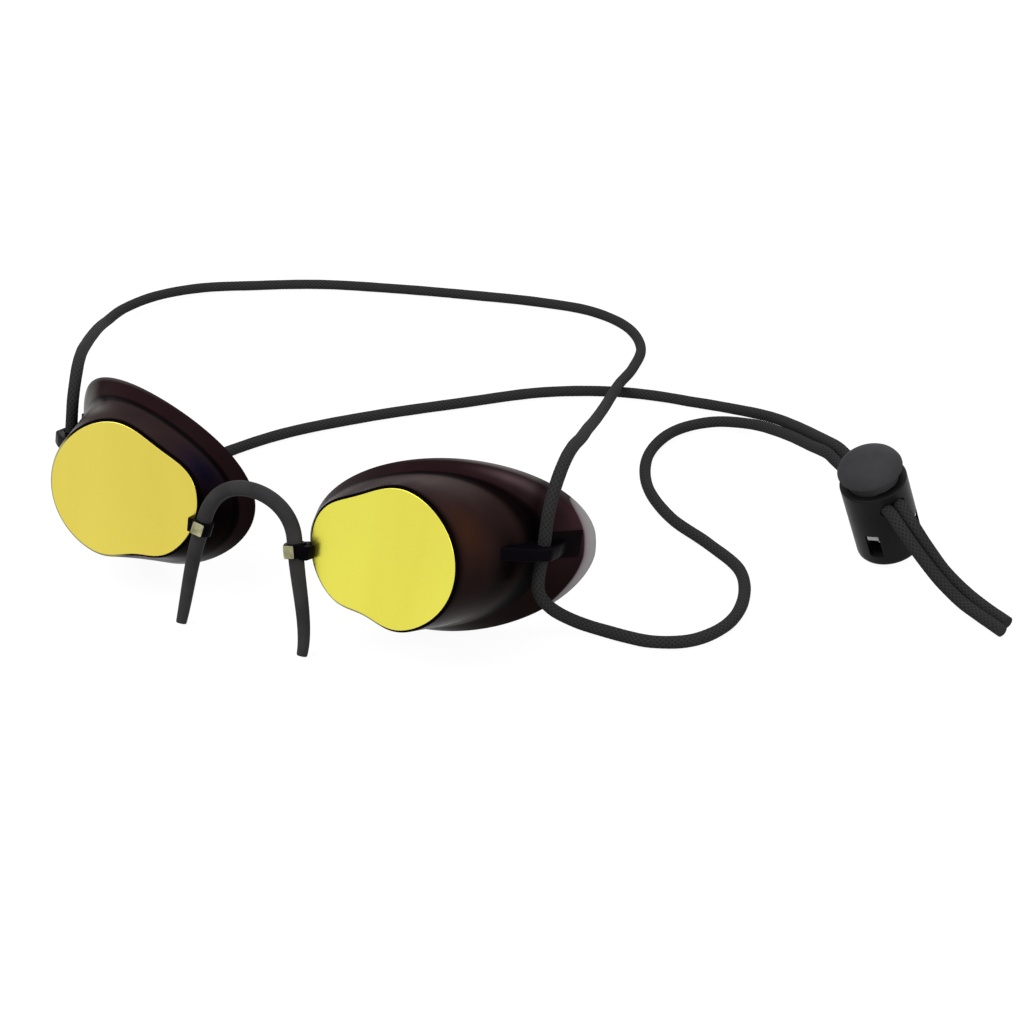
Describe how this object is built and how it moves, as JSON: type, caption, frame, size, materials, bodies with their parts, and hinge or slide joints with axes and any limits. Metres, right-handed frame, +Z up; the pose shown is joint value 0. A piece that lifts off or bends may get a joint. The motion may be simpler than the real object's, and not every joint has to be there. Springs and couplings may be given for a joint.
{
  "type": "swimming goggles",
  "caption": "Low-profile racing swimming goggles with mirrored one-piece eye cups, a rubber tube nose bridge and an elastic cord drawn through a sprung barrel lock.",
  "frame": {"origin": "on the table, under the middle of the two eye cups and the nose bridge, measured without the cord and its lock", "axes": "+X towards the wearer's left eye cup, -Y the way the goggles look, +Z up from the table they stand on"},
  "size_m": [0.2734, 0.1867, 0.0429],
  "materials": {
    "left_cup": "polished, dark plum smoke tint, slightly see-through",
    "right_cup": "polished, dark plum smoke tint, slightly see-through",
    "left_mirror_coat": "polished gold mirror",
    "right_mirror_coat": "polished gold mirror",
    "nose_bridge_tube": "smooth satin",
    "head_cord": "braided sheath over elastic",
    "left_cord": "braided sheath over elastic",
    "right_cord": "braided sheath over elastic",
    "lock_barrel": "fine satin",
    "lock_plunger": "fine satin",
    "lock_spring": "bright drawn wire"
  },
  "bodies": {
    "bridge": {"nose_bridge_tube": "nose_bridge_tube", "head_cord": "head_cord", "left_cord": "left_cord", "right_cord": "right_cord"},
    "left_eye": {"left_cup": "left_cup", "left_mirror_coat": "left_mirror_coat"},
    "right_eye": {"right_cup": "right_cup", "right_mirror_coat": "right_mirror_coat"},
    "lock": {"lock_barrel": "lock_barrel", "lock_spring": "lock_spring"},
    "button": {"lock_plunger": "lock_plunger"}
  },
  "joints": [
    {"name": "left_cup_swivel", "type": "hinge", "parent": "bridge", "child": "left_eye", "pos_m": [0.0119, -0.01429, 0.02398], "axis": [-0.2166, 0.32, 0.9223], "range_deg": [-10, 10], "deforming": ["head_cord", "left_cord"]},
    {"name": "right_cup_swivel", "type": "hinge", "parent": "bridge", "child": "right_eye", "pos_m": [-0.0119, -0.01429, 0.02398], "axis": [0.2166, 0.32, 0.9223], "range_deg": [-10, 10], "deforming": ["head_cord", "right_cord"]},
    {"name": "lock_slide", "type": "slide", "parent": "bridge", "child": "lock", "axis": [0.7071, -0.7071, 0], "range_m": [-0.012, 0.001]},
    {"name": "button_press", "type": "slide", "parent": "lock", "child": "button", "axis": [0.2418, 0.2418, -0.9397], "range_m": [0, 0.0024], "stiffness_N_per_m": 1500, "deforming": ["lock_spring"]}
  ]
}
